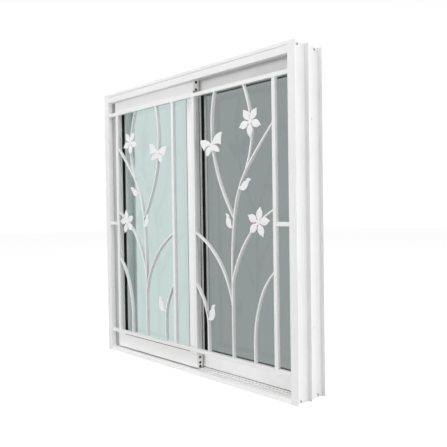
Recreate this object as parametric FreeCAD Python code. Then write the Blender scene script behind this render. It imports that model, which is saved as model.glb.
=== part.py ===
import FreeCAD, Part
import math
import os

# Sliding window in white aluminium: a frame, two sashes that run one behind the other,
# and a wrought security grille with vines, flowers, leaves and butterflies in front.
# Millimetres. X runs along the sill, Y from the front (grille side) to the back, Z up.
# The origin is at the middle of the footprint, on the surface that the sill stands on.

Vec = FreeCAD.Vector

# Frame
frame_width = 1000.0
frame_height = 1050.0
frame_depth = 130.0
wall = 2.0
lip = 12.5
fin_thickness = 3.0
middle_fin_depth = 62.5
jamb_face = 28.0
head_face = 35.0
head_lap = 9.5
groove_width = 3.0
groove_depth = 0.8
sill_face = 16.0
front_box_depth = 19.0
rib_thickness = 1.5
head_rib_reach = 31.0
jamb_rib_reach = 28.0
sill_rib_reach = 18.0
track_reach = 17.5
track_thickness = 2.0
port_radius = 5.0
port_reach = 8.0
port_bore_radius = 2.2
front_port_depth = 26.0
rear_port_inset = 22.0

# Holes in the outer walls of the jambs
wall_hole_radius = 3.0
wall_hole_inset = 40.0
wall_hole_spacing = 620.0

# Sashes
sash_overlap = 7.0
sash_thickness = 26.0
sash_clearance = 1.5
sash_lift = 19.0
sash_top_gap = 24.0
front_sash_slide = 31.0
closed_gap = 2.0
top_rail_height = 51.0
bottom_rail_height = 52.0
outer_stile_width = 45.0
front_meeting_width = 35.0
rear_meeting_width = 45.0
sash_wall = 1.6
glazing_depth = 15.0
bead_reach = 5.0
glass_thickness = 4.0
glass_clearance = 0.5
gasket_thickness = 2.5
roller_well_height = 20.0

# Rollers and top guides
wheel_radius = 9.0
wheel_width = 6.0
roller_inset = 70.0
roller_length = 44.0
axle_lift = 7.5
guide_length = 40.0
guide_height = 5.0
guide_clearance = 0.3

# Grille
bar_size = 12.7
grille_setback = 2.0
grille_bottom = 79.9
grille_top_drop = 92.3
outer_bar_inset = 78.7
left_inner_bar_offset = 67.9
right_inner_bar_offset = 58.0
tie_height = 524.0
stem_thickness = 5.0
plate_thickness = 1.8

# Size of the panel between the bars for which the pattern of stems and flowers is drawn
pattern_width = 340.7
pattern_height = 865.1
petal_count = 5
petal_length = 49.0
petal_root = 4.9
petal_neck = 9.8
petal_shoulder = 41.2
petal_half_width = 12.3
petal_neck_half_width = 4.0
petal_shoulder_half_width = 4.6
flower_disc_radius = 8.0
butterfly_span = 107.0
straight_bulge = 0.01

front = -frame_depth / 2
top = frame_height
half_width = frame_width / 2
rear_port_depth = frame_depth - rear_port_inset
wall_hole_depth = frame_depth - wall_hole_inset
wall_face = half_width - lip - wall
sash_width = wall_face - closed_gap + sash_overlap / 2


def depth(distance):
    """Y of a place that lies this far behind the front plane."""
    return front + distance


# Sections of the frame are drawn as strips: each is (depth from, depth to, reach from, reach to),
# where reach is counted inwards from the outer edge of the fins.
def strip_face(strip):
    near, far, outer, inner = strip
    corners = [Vec(near, outer, 0), Vec(far, outer, 0), Vec(far, inner, 0), Vec(near, inner, 0)]
    return Part.Face(Part.makePolygon(corners + corners[:1]))


def port_face(port_depth):
    """Round screw port on the outer side of the base wall, open towards its screw."""
    centre = Vec(port_depth, port_reach, 0)
    ring = Part.Face(Part.Wire(Part.makeCircle(port_radius, centre)))
    return ring.cut(Part.Face(Part.Wire(Part.makeCircle(port_bore_radius, centre))))


def extrude_section(faces, length):
    """Prism of the joined strips along the third axis."""
    section = faces[0].multiFuse(faces[1:]) if len(faces) > 1 else faces[0]
    return section.removeSplitter().extrude(Vec(0, 0, length)).removeSplitter()


def solid_of(shape):
    return shape.Solids[0] if len(shape.Solids) == 1 else shape


def place(shape, x_axis, y_axis, z_axis, origin):
    """Turn a shape so that its own axes lie along the three given ones."""
    matrix = FreeCAD.Matrix(
        x_axis.x, y_axis.x, z_axis.x, origin.x,
        x_axis.y, y_axis.y, z_axis.y, origin.y,
        x_axis.z, y_axis.z, z_axis.z, origin.z,
        0, 0, 0, 1)
    return shape.transformed(matrix, copy=True)


def box(x0, x1, y0, y1, z0, z1):
    return Part.makeBox(x1 - x0, y1 - y0, z1 - z0, Vec(x0, y0, z0))


front_sash_depth = front_box_depth + sash_clearance
divider_depth = front_sash_depth + sash_thickness + sash_clearance
rear_sash_depth = divider_depth + rib_thickness + sash_clearance
rear_rib_depth = rear_sash_depth + sash_thickness + sash_clearance


def rib_strips(reach):
    """The divider between the two sashes and the rib behind the rear one."""
    return [(start, start + rib_thickness, lip + wall, reach) for start in (divider_depth, rear_rib_depth)]


def outer_fins():
    return [(start, start + fin_thickness, 0, lip)
            for start in (middle_fin_depth, frame_depth - fin_thickness)]


def front_box(face_reach):
    """Return and back of the hollow box behind the front flange."""
    return [(wall, front_box_depth, face_reach - wall, face_reach),
            (front_box_depth - wall, front_box_depth, lip + wall, face_reach)]


def rear_flange(reach):
    return [(frame_depth - wall, frame_depth, lip + wall, reach)]


def jamb(side):
    """Jamb: its outer wall and fins run full height, its inner ribs stop at the head and the sill."""
    shell = extrude_section([strip_face(s) for s in [(0, frame_depth, lip, lip + wall)] + outer_fins()],
                            frame_height)
    flange = extrude_section([strip_face((0, wall, 0, jamb_face))], frame_height)
    inner_strips = front_box(jamb_face) + rib_strips(jamb_rib_reach) + rear_flange(jamb_face)
    inner = extrude_section([strip_face(s) for s in inner_strips], frame_height - 2 * (lip + wall))
    inner.translate(Vec(0, 0, lip + wall))
    blank = shell.fuse([flange, inner]).removeSplitter()
    notch = box(-lip, wall, -lip, half_width, frame_height - head_lap, frame_height + lip)
    blank = blank.cut(notch)
    for offset in (-wall_hole_spacing / 2, wall_hole_spacing / 2):
        bore = Part.makeCylinder(wall_hole_radius, 2 * lip,
                                 Vec(wall_hole_depth, 0, frame_height / 2 + offset), Vec(0, 1, 0))
        blank = blank.cut(bore)
    for port_depth in (front_port_depth, rear_port_depth):
        for height in (port_reach, frame_height - port_reach):
            blank = blank.cut(Part.makeCylinder(port_bore_radius, 2 * lip, Vec(port_depth, 0, height),
                                                Vec(0, 1, 0)))
    return solid_of(place(blank, Vec(0, 1, 0), Vec(-side, 0, 0), Vec(0, 0, 1),
                          Vec(side * half_width, front, 0)))


def lay_across(shape, upwards, length):
    """Lay a section extruded along its own third axis along X, reach counted from below or above."""
    z_start = 0 if upwards > 0 else top
    return place(shape, Vec(0, 1, 0), Vec(0, 0, upwards), Vec(1, 0, 0), Vec(-length / 2, front, z_start))


def cross_member(upwards, base_strips, inner_strips, front_strips):
    """Head or sill: the base wall meets the outer walls of the jambs, the rest stops at their faces."""
    base_length = 2 * wall_face
    inner_length = frame_width - 2 * jamb_face
    base_faces = [strip_face(s) for s in base_strips] + [port_face(d) for d in
                                                         (front_port_depth, rear_port_depth)]
    base = lay_across(extrude_section(base_faces, base_length), upwards, base_length)
    inner = lay_across(extrude_section([strip_face(s) for s in inner_strips], inner_length),
                       upwards, inner_length)
    pieces = [inner]
    for strip, length in front_strips:
        pieces.append(lay_across(extrude_section([strip_face(strip)], length), upwards, length))
    return solid_of(base.fuse(pieces).removeSplitter())


def head():
    base_strips = [(wall, frame_depth, lip, lip + wall)] + outer_fins()
    inner_strips = front_box(head_face) + rib_strips(head_rib_reach) + rear_flange(jamb_face)
    groove_end = head_lap + groove_width
    inner_length = frame_width - 2 * jamb_face
    front_strips = [((0, wall, groove_end, head_face), inner_length),
                    ((groove_depth, wall, head_lap, groove_end), inner_length),
                    ((0, wall, 0, head_lap), frame_width)]
    return cross_member(-1, base_strips, inner_strips, front_strips)


def sill():
    base_strips = [(wall, frame_depth, lip, lip + wall)] + outer_fins()
    track_inset = (sash_thickness - track_thickness) / 2
    tracks = [(start + track_inset, start + track_inset + track_thickness, lip + wall, track_reach)
              for start in (front_sash_depth, rear_sash_depth)]
    inner_strips = tracks + rib_strips(sill_rib_reach) + rear_flange(sill_face)
    front_strips = [((0, wall, 0, sill_face), frame_width - 2 * jamb_face)]
    return cross_member(1, base_strips, inner_strips, front_strips)


def tube_section(width, well):
    """Hollow sash bar across its width, as strips (depth from, depth to, across from, across to).

    A bottom rail is open towards the track for its rollers, and a web closes the box above that well.
    """
    back = sash_thickness
    web = well - sash_wall if well else 0
    strips = [(0, sash_wall, 0, width), (back - sash_wall, back, 0, width),
              (0, back, width - sash_wall, width), (0, back, web, web + sash_wall)]
    return [strip_face(strip) for strip in strips]


def bead_section(width):
    """Hollow bead behind the glass, on the inner edge of a bar of this width."""
    near = glazing_depth + glass_thickness
    back = sash_thickness
    tip = width + bead_reach
    strips = [(near, near + sash_wall, width, tip), (back - sash_wall, back, width, tip),
              (near, back, tip - sash_wall, tip)]
    return [strip_face(strip) for strip in strips]


sash_bottom = sash_lift
sash_top = top - sash_top_gap
pane_bottom = sash_bottom + bottom_rail_height
pane_top = sash_top - top_rail_height


def sash_rail(left, near, is_top, pane):
    """Rail over the whole width of the sash, with its bead between those of the stiles."""
    height = top_rail_height if is_top else bottom_rail_height
    start = sash_top if is_top else sash_bottom
    across = Vec(0, 0, -1 if is_top else 1)
    tube = extrude_section(tube_section(height, 0 if is_top else roller_well_height), sash_width)
    bead = extrude_section(bead_section(height), pane[1] - pane[0] - 2 * bead_reach)
    shapes = [place(shape, Vec(0, 1, 0), across, Vec(1, 0, 0), Vec(x, depth(near), start))
              for shape, x in ((tube, left), (bead, pane[0] + bead_reach))]
    return solid_of(shapes[0].fuse(shapes[1]).removeSplitter())


def sash_stile(edge, near, width, inwards):
    """Stile between the two rails, with its bead towards the glass."""
    section = extrude_section(tube_section(width, 0) + bead_section(width), pane_top - pane_bottom)
    return solid_of(place(section, Vec(0, 1, 0), Vec(inwards, 0, 0), Vec(0, 0, 1),
                          Vec(edge, depth(near), pane_bottom)))


def frame_ring(x0, x1, z0, z1, inset, y0, y1):
    """Rectangular ring of a given breadth round a pane."""
    outer = box(x0, x1, y0, y1, z0, z1)
    return outer.cut(box(x0 + inset, x1 - inset, y0, y1, z0 + inset, z1 - inset))


def rollers(left, near):
    """Two nylon blocks under the web of the bottom rail, each with a wheel on the track."""
    middle = depth(near + sash_thickness / 2)
    inner_half = sash_thickness / 2 - sash_wall
    track_top = track_reach
    axle = track_top + wheel_radius
    block_bottom = axle - axle_lift
    block_top = sash_bottom + roller_well_height - sash_wall
    units = []
    for centre in (left + roller_inset, left + sash_width - roller_inset):
        block = box(centre - roller_length / 2, centre + roller_length / 2, middle - inner_half,
                    middle + inner_half, block_bottom, block_top)
        wheel = Part.makeCylinder(wheel_radius, wheel_width, Vec(centre, middle - wheel_width / 2, axle),
                                  Vec(0, 1, 0))
        units.append(block.fuse(wheel).removeSplitter())
    return units


def top_guides(left, near):
    """Two nylon slippers on the top rail that keep the sash between the ribs of the head."""
    y0 = depth(near) - sash_clearance + guide_clearance
    y1 = depth(near + sash_thickness) + sash_clearance - guide_clearance
    starts = (left + roller_inset / 2, left + sash_width - roller_inset / 2 - guide_length)
    return [box(x, x + guide_length, y0, y1, sash_top, sash_top + guide_height) for x in starts]


def sash(name, left, near, outer_on_left, meeting_width):
    """All the pieces of one sash, by node name."""
    left_width = outer_stile_width if outer_on_left else meeting_width
    right_width = meeting_width if outer_on_left else outer_stile_width
    right = left + sash_width
    pane = (left + left_width, right - right_width)
    stile_names = ("outer_stile", "meeting_stile")
    left_name, right_name = stile_names if outer_on_left else stile_names[::-1]
    glass_y = depth(near + glazing_depth)
    pieces = {
        "top_rail": sash_rail(left, near, True, pane),
        "bottom_rail": sash_rail(left, near, False, pane),
        left_name: sash_stile(left, near, left_width, 1),
        right_name: sash_stile(right, near, right_width, -1),
        "glass": box(pane[0] + glass_clearance, pane[1] - glass_clearance, glass_y, glass_y + glass_thickness,
                     pane_bottom + glass_clearance, pane_top - glass_clearance),
        "gasket": frame_ring(pane[0], pane[1], pane_bottom, pane_top, gasket_thickness, depth(near), glass_y),
        "runners": Part.makeCompound(rollers(left, near) + top_guides(left, near)),
    }
    return {name + "_" + key: shape for key, shape in pieces.items()}


# Grille
grille_y = depth(grille_setback)
grille_inner_face = half_width - jamb_face
top_bar_bottom = top - grille_top_drop
bottom_bar_top = grille_bottom + bar_size
outer_bar_x = half_width - outer_bar_inset
inner_bar_offsets = {"left": left_inner_bar_offset, "right": right_inner_bar_offset}
pattern_start = max(inner_bar_offsets.values())
panel_width = outer_bar_x - bar_size - pattern_start
panel_height = top_bar_bottom - bottom_bar_top
pattern_scale = min(panel_width / pattern_width, panel_height / pattern_height)


def grille_bar(x0, x1, z0, z1):
    return box(x0, x1, grille_y, grille_y + bar_size, z0, z1)


def grille_bars():
    bars = {
        "grille_top_bar": grille_bar(-grille_inner_face, grille_inner_face, top_bar_bottom,
                                     top_bar_bottom + bar_size),
        "grille_bottom_bar": grille_bar(-grille_inner_face, grille_inner_face, grille_bottom, bottom_bar_top),
    }
    for side, side_name in ((-1, "left"), (1, "right")):
        for outer_x, bar_name in ((outer_bar_x, "outer"), (inner_bar_offsets[side_name], "inner")):
            edges = sorted((side * outer_x, side * (outer_x - bar_size)))
            bars["grille_%s_%s_bar" % (side_name, bar_name)] = grille_bar(
                edges[0], edges[1], bottom_bar_top, top_bar_bottom)
    ties = [grille_bar(*sorted((side * outer_bar_x, side * grille_inner_face)),
                       tie_height - bar_size / 2, tie_height + bar_size / 2) for side in (-1, 1)]
    bars["grille_side_ties"] = Part.makeCompound(ties)
    return bars


# Stems of the right-hand panel, measured from its inner lower corner: each is a flat bar bent on edge
# along arcs that run into one another. It starts in the given direction (degrees from level) at the
# first point, and the other points are those where one arc ends. The left-hand panel is the mirror
# image. The ends run into a bar or into the main stem, and are trimmed there. The right-hand panel is
# a little wider, so that the stems that end at its inner bar are drawn long enough for both.
STEMS = {
    "main_stem": (90, [(165, -5), (165, 295.6), (179.7, 472.6), (245.2, 620.4), (347, 736)]),
    "butterfly_stem": (-105.1, [(92, 869.5), (77.5, 710.2), (124.1, 539.8), (174.6, 450.2)]),
    "top_flower_stem": (-66.2, [(219.5, 873), (252.8, 762.6), (231, 605)]),
    "middle_flower_stem": (78, [(164.5, 236), (225.7, 375.8), (345, 475)]),
    "upper_inner_stem": (-24.8, [(-15, 401.8), (88.4, 325.3), (164, 172)]),
    "lower_inner_stem": (90, [(48.6, -5), (48.6, 78.6), (29.8, 161.4), (-15, 228.5)]),
    "lower_outer_stem": (90, [(259.9, -5), (259.9, 57.4), (290.7, 213), (346, 290)]),
}
TOP_FLOWER = ((253.4, 746.2), -19)
MIDDLE_FLOWER = ((282.6, 436.0), 6.5)
BUTTERFLY = (79.1, 689.6)
# Base and tip of each leaf, and the side of the line between them on which its full edge lies.
LEAVES = [
    ((199.7, 548), (256.3, 568), -1),
    ((173.5, 420), (141.5, 464.9), 1),
    ((47.1, 110.6), (87.7, 163.6), -1),
]

# Outlines as runs of arcs and lines: (end) is a straight run, (through, end) an arc.
LEAF_LENGTH = 60.0
LEAF_START = (0, 0)
LEAF_RUNS = [((13, -17.5), (36.4, -14.8)), ((50.4, -1.2),), ((60, 0),), ((54, 6.8), (46, 10.4)),
             ((36.2, 5.2),), ((28, 6.6), (15.7, 0)), ((8, -1.8), (0, 0))]
BODY = ((0, 11), [((-4.2, -5.5), (0, -22)), ((4.2, -5.5), (0, 11))])
WINGS = [
    ((2, 5), [((16, 28), (50, 40)), ((46.3, 22), (45.5, -1)), ((26, 4), (2, 0))]),
    ((2, 0), [((27, -4), (38, -23)), ((20, -21.5), (2, -15))]),
    ((-2, 6), [((-24, 19), (-57, 20)), ((-49, 3), (-37, -15)), ((-25, -3.5), (-2, -2))]),
    ((-2, -3), [((-22, -7), (-29.5, -20)), ((-27, -29), (-20.6, -35)), ((-9, -28), (-2, -14))]),
]


def panel_point(across, up):
    """Place in the right-hand panel of a point of the pattern."""
    return Vec(pattern_start + across * panel_width / pattern_width, 0,
               bottom_bar_top + up * panel_height / pattern_height)


def arc_chain(direction, points):
    """Ends, middles and end directions of the arcs that run through the points without a kink."""
    tangent = Vec(math.cos(math.radians(direction)), 0, math.sin(math.radians(direction)))
    runs = []
    for start, end in zip(points, points[1:]):
        chord = (end - start).normalize()
        end_tangent = chord * (2 * tangent.dot(chord)) - tangent
        runs.append((start, end, tangent, end_tangent))
        tangent = end_tangent
    return runs


def side_of(tangent, distance):
    return Vec(-tangent.z, 0, tangent.x) * distance


def arc_edge(start, end, tangent, end_tangent, distance):
    """Edge beside one arc of a centre line, at a distance to its left."""
    near = start + side_of(tangent, distance)
    far = end + side_of(end_tangent, distance)
    middle_tangent = (tangent + end_tangent).normalize()
    bulge = (far - near).Length * math.tan(tangent.getAngle(end_tangent) / 4) / 2
    if bulge < straight_bulge:
        return Part.makeLine(near, far)
    outwards = (tangent - end_tangent).normalize() * bulge
    return Part.Arc(near, (near + far) / 2 + outwards, far).toShape()


def stem_solid(direction, points):
    """Flat bar on edge, bent along its arcs."""
    runs = arc_chain(direction, [panel_point(*point) for point in points])
    half = stem_thickness / 2
    left = [arc_edge(*run, half) for run in runs]
    right = [arc_edge(*run, -half) for run in runs]
    start, end = runs[0], runs[-1]
    caps = [Part.makeLine(place_on + side_of(tangent, half), place_on + side_of(tangent, -half))
            for place_on, tangent in ((start[0], start[2]), (end[1], end[3]))]
    wire = Part.Wire(Part.__sortEdges__(left + right + caps))
    solid = Part.Face(wire).extrude(Vec(0, bar_size, 0))
    solid.translate(Vec(0, grille_y, 0))
    return solid


def outline_face(start, runs, to_panel):
    """Flat face inside a closed outline of straight runs and arcs."""
    edges = []
    here = to_panel(*start)
    for run in runs:
        end = to_panel(*run[-1])
        if len(run) == 1:
            edges.append(Part.makeLine(here, end))
        else:
            edges.append(Part.Arc(here, to_panel(*run[0]), end).toShape())
        here = end
    if runs[-1][-1] != start:
        edges.append(Part.makeLine(here, to_panel(*start)))
    return Part.Face(Part.Wire(edges))


def turned(centre, degrees, scale, mirror=1):
    """Placing of a drawing: turned, scaled and with its left side on the left or on the right."""
    cosine, sine = math.cos(math.radians(degrees)), math.sin(math.radians(degrees))

    def to_panel(along, left):
        left = left * mirror
        return centre + Vec(along * cosine - left * sine, 0, along * sine + left * cosine) * scale
    return to_panel


def cut_plate(faces):
    """Plate cut to the joined faces, lying on the front of the stems."""
    plates = [face.extrude(Vec(0, -plate_thickness, 0)) for face in faces]
    plate = plates[0].multiFuse(plates[1:]).removeSplitter() if len(plates) > 1 else plates[0]
    plate.translate(Vec(0, grille_y, 0))
    return solid_of(plate)


def petal(to_panel):
    """Petal along its own first axis: narrow neck, full middle, drawn-out tip."""
    middle = (petal_neck + petal_shoulder) / 2
    neck = petal_neck_half_width
    shoulder = petal_shoulder_half_width
    runs = [((petal_neck, neck),), ((middle, petal_half_width), (petal_shoulder, shoulder)),
            ((petal_length, 0),), ((petal_shoulder, -shoulder),),
            ((middle, -petal_half_width), (petal_neck, -neck)), ((petal_root, -neck),)]
    return outline_face((petal_root, neck), runs, to_panel)


def flower(centre, turn):
    middle = panel_point(*centre)
    disc = Part.Face(Part.Wire(Part.makeCircle(flower_disc_radius * pattern_scale, middle, Vec(0, 1, 0))))
    petals = [petal(turned(middle, turn + 360 * number / petal_count, pattern_scale))
              for number in range(petal_count)]
    return cut_plate([disc] + petals)


def butterfly(centre):
    """Two large wings, two small ones and a body along the stem."""
    tips = [point[0] for _, runs in WINGS for run in runs for point in run]
    drawn_span = max(tips) - min(tips)
    to_panel = turned(panel_point(*centre), 0, pattern_scale * butterfly_span / drawn_span)
    return cut_plate([outline_face(start, runs, to_panel) for start, runs in [BODY] + WINGS])


def leaf(base, tip, full_side):
    """Leaf from its base on the stem to its tip."""
    start, end = panel_point(*base), panel_point(*tip)
    along = end - start
    degrees = math.degrees(math.atan2(along.z, along.x))
    return cut_plate([outline_face(LEAF_START, LEAF_RUNS,
                                   turned(start, degrees, along.Length / LEAF_LENGTH, -full_side))])


def mirrored(shape):
    return shape.mirror(Vec(0, 0, 0), Vec(1, 0, 0))


def grille_ornament(bars):
    """Stems, flowers, leaves and butterfly of both panels."""
    stems = {key: stem_solid(*placing) for key, placing in STEMS.items()}
    plates = {
        "flowers": Part.makeCompound([flower(*TOP_FLOWER), flower(*MIDDLE_FLOWER)]),
        "butterfly": butterfly(BUTTERFLY),
        "leaves": Part.makeCompound([leaf(*placing) for placing in LEAVES]),
    }
    ornament = {}
    for side, to_side in (("left", mirrored), ("right", Part.Shape.copy)):
        trim = [bars["grille_top_bar"], bars["grille_bottom_bar"], bars["grille_%s_outer_bar" % side],
                bars["grille_%s_inner_bar" % side]]
        for key, stem in stems.items():
            fitted = max(to_side(stem).cut(trim).Solids, key=lambda piece: piece.Volume)
            ornament["%s_%s" % (side, key)] = fitted
            trim.append(fitted)
        for key, plate in plates.items():
            ornament["%s_%s" % (side, key)] = to_side(plate)
    return ornament


def window():
    nodes = {"left_jamb": jamb(-1), "right_jamb": jamb(1), "head": head(), "sill": sill()}
    rear_right = wall_face - closed_gap
    front_left = -wall_face + closed_gap + front_sash_slide
    nodes.update(sash("front_sash", front_left, front_sash_depth, True, front_meeting_width))
    nodes.update(sash("rear_sash", rear_right - sash_width, rear_sash_depth, False, rear_meeting_width))
    bars = grille_bars()
    nodes.update(bars)
    nodes.update(grille_ornament(bars))
    return nodes


os.makedirs("parts", exist_ok=True)
for node_name, node_shape in window().items():
    node_shape.exportStep("parts/%s.step" % node_name)
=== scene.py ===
"""Looks of a horizontal sliding window with an ornamental grille.

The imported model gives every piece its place. This script eases the sharp edges of the coated
pieces, adds the small pieces that they carry, gives everything its finish, and sets up the studio
and the camera. The window's lengths and places are in millimetres, which MM turns into metres, and
those of the studio are in metres.
"""

import logging
import math
from collections.abc import Iterable, Sequence
from dataclasses import dataclass
from enum import Enum

import bmesh
import bpy
from mathutils import Matrix, Vector
from mathutils.bvhtree import BVHTree


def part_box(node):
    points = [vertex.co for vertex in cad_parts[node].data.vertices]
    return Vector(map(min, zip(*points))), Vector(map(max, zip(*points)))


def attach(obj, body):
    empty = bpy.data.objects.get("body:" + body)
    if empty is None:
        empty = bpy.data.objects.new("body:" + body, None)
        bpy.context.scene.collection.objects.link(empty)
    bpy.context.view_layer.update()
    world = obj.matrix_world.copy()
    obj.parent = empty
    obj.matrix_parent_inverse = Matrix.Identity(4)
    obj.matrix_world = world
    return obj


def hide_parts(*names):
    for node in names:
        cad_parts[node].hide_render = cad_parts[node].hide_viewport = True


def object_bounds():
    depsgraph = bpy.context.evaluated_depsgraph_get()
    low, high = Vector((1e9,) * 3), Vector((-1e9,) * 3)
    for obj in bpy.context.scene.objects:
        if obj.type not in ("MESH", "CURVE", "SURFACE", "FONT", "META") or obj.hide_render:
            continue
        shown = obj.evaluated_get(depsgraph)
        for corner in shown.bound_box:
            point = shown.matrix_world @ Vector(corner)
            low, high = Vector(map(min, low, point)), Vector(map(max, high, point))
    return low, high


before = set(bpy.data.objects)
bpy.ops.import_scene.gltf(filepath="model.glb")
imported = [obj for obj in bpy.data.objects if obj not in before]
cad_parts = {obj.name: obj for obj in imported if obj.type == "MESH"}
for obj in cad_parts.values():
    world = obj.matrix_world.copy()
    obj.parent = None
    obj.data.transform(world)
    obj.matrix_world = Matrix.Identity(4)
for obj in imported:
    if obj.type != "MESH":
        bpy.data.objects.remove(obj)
CAD_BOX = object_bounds()

LOG = logging.getLogger("window")
MM = 0.001
IMAGE_SIZE = 447
BODY = "root"

# Noise factors lie mostly between these two values.
NOISE_LOW, NOISE_HIGH = 0.3, 0.7
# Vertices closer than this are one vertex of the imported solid.
MERGE_MM = 0.004
# Faces that differ by less than this angle lie in one plane.
FLAT_ANGLE = math.radians(0.4)
# Edges sharper than this are rounded.
EASED_ANGLE = math.radians(40)
# Edges sharper than these keep a hard highlight, on eased pieces and on lofted ones.
HARD_ANGLE, HARD_LOFT_ANGLE = math.radians(50), math.radians(35)
# Faces whose normal points this far towards the front belong to the front.
FRONT_NORMAL = -0.99


def linear(hex_colour: str, alpha: float = 1.0) -> tuple[float, float, float, float]:
    """Turn an sRGB hex colour into the linear colour that a shader socket takes.

    Args:
        hex_colour: Colour such as "#e9e9e7".
        alpha: Fourth channel.

    Returns:
        Linear red, green and blue, and the alpha.
    """
    channels = [int(hex_colour[i:i + 2], 16) / 255 for i in (1, 3, 5)]
    red, green, blue = (c / 12.92 if c <= 0.04045 else ((c + 0.055) / 1.055) ** 2.4 for c in channels)
    return red, green, blue, alpha


def add_node(tree: bpy.types.NodeTree, kind: str, settings: dict[str, object] | None = None,
             inputs: dict[str | int, object] | None = None) -> bpy.types.Node:
    """Add one node with its settings, and give its inputs values or links.

    Args:
        tree: Tree that takes the node.
        kind: Blender's name for the node type.
        settings: Node properties by name.
        inputs: Values by input name or number. An output socket is linked instead.

    Returns:
        The new node.
    """
    node = tree.nodes.new(kind)
    for name, value in (settings or {}).items():
        setattr(node, name, value)
    for key, value in (inputs or {}).items():
        if isinstance(value, bpy.types.NodeSocket):
            tree.links.new(value, node.inputs[key])
        else:
            node.inputs[key].default_value = value
    return node


class Slot(Enum):
    """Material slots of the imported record."""

    FRAME_PAINT = "frame_paint"
    GRILLE_PAINT = "grille_paint"
    CLEAR_GLASS = "clear_glass"
    GREY_GLASS = "grey_glass"
    BLACK_RUBBER = "black_rubber"
    NYLON = "nylon"


def new_material(name: str) -> tuple[bpy.types.Material, bpy.types.Node]:
    """Make a material with an empty tree and its output node.

    Args:
        name: Name of the material and its process.

    Returns:
        The material and the output node.
    """
    material = bpy.data.materials.new(name)
    material.use_nodes = True
    material.node_tree.nodes.clear()
    return material, material.node_tree.nodes.new("ShaderNodeOutputMaterial")


def object_noise(tree: bpy.types.NodeTree, grain_mm: float, detail: float = 2.0,
                 stretch: tuple[float, float, float] = (1.0, 1.0, 1.0)) -> bpy.types.NodeSocket:
    """Noise on the object's own coordinates.

    Args:
        tree: Material tree.
        grain_mm: Size of one grain of the pattern.
        detail: Octaves of the noise.
        stretch: How much finer the pattern is along each axis.

    Returns:
        The factor output of the noise.
    """
    place = add_node(tree, "ShaderNodeTexCoord")
    mapping = add_node(tree, "ShaderNodeMapping", inputs={
        "Vector": place.outputs["Object"], "Scale": stretch})
    noise = add_node(tree, "ShaderNodeTexNoise", inputs={
        "Vector": mapping.outputs["Vector"], "Scale": 1 / (grain_mm * MM), "Detail": detail})
    return noise.outputs["Fac"]


def blend_colours(tree: bpy.types.NodeTree, factor: bpy.types.NodeSocket, first: str,
                  second: str) -> bpy.types.NodeSocket:
    """Ramp between two hex colours.

    Args:
        tree: Material tree.
        factor: Where on the ramp each point lies.
        first: Colour at the low end.
        second: Colour at the high end.

    Returns:
        The colour output of the ramp.
    """
    ramp = add_node(tree, "ShaderNodeValToRGB", inputs={"Fac": factor})
    for element, place, colour in zip(ramp.color_ramp.elements, (NOISE_LOW, NOISE_HIGH), (first, second)):
        element.position = place
        element.color = linear(colour)
    return ramp.outputs["Color"]


def spread(tree: bpy.types.NodeTree, factor: bpy.types.NodeSocket, low: float,
           high: float) -> bpy.types.NodeSocket:
    """Map a noise factor to a range of values.

    Args:
        tree: Material tree.
        factor: Noise factor.
        low: Value at the low end.
        high: Value at the high end.

    Returns:
        The result output.
    """
    node = add_node(tree, "ShaderNodeMapRange", inputs={
        "Value": factor, "From Min": NOISE_LOW, "From Max": NOISE_HIGH, "To Min": low, "To Max": high})
    return node.outputs["Result"]


@dataclass(frozen=True)
class PowderCoat:
    """Polyester powder coat baked on metal: an even satin skin with faint orange peel.

    The peel of a real coat has waves of 1 to 2 mm. It is drawn at 3 mm so that it still breaks up
    the highlights at the size of the render.
    """

    name: str
    colour: str
    shade: str
    roughness: float = 0.42
    roughness_spread: float = 0.03
    tone_mm: float = 160.0
    peel_mm: float = 3.0
    peel_height_mm: float = 0.012

    def build(self) -> bpy.types.Material:
        """Make the material.

        Returns:
            The new material.
        """
        material, output = new_material(self.name)
        tree = material.node_tree
        tone = object_noise(tree, self.tone_mm, 1.0)
        peel = object_noise(tree, self.peel_mm, 1.0)
        bump = add_node(tree, "ShaderNodeBump", inputs={
            "Strength": 0.6, "Distance": self.peel_height_mm * MM, "Height": peel})
        low, high = self.roughness - self.roughness_spread, self.roughness + self.roughness_spread
        shader = add_node(tree, "ShaderNodeBsdfPrincipled", inputs={
            "Base Color": blend_colours(tree, tone, self.shade, self.colour),
            "Roughness": spread(tree, peel, low, high),
            "IOR": 1.5, "Normal": bump.outputs["Normal"]})
        tree.links.new(shader.outputs["BSDF"], output.inputs["Surface"])
        return material


@dataclass(frozen=True)
class FloatGlass:
    """Soda-lime float glass, tinted in the melt: clear and flat, with the faintest draw of the bath.

    The tint is what the whole pane lets through, over both of its faces, and it deepens a little from
    place to place. The photo shows hardly any reflection, so each face mirrors only a part of what bare
    glass would, as a bloomed pane does.
    """

    name: str
    tint: str
    deeper: str
    mirror: str = "#7c7c7c"
    draw_mm: float = 220.0
    draw_stretch: tuple[float, float, float] = (1.0, 1.0, 0.25)
    draw_height_mm: float = 0.02

    def build(self) -> bpy.types.Material:
        """Make the material.

        Returns:
            The new material.
        """
        material, output = new_material(self.name)
        tree = material.node_tree
        draw = object_noise(tree, self.draw_mm, 0.0, self.draw_stretch)
        bump = add_node(tree, "ShaderNodeBump", inputs={
            "Strength": 0.15, "Distance": self.draw_height_mm * MM, "Height": draw})
        shader = add_node(tree, "ShaderNodeBsdfPrincipled", inputs={
            "Base Color": blend_colours(tree, draw, self.deeper, self.tint), "Roughness": 0.0, "IOR": 1.52,
            "Transmission Weight": 1.0, "Specular Tint": linear(self.mirror),
            "Normal": bump.outputs["Normal"]})
        tree.links.new(shader.outputs["BSDF"], output.inputs["Surface"])
        return material


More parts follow.
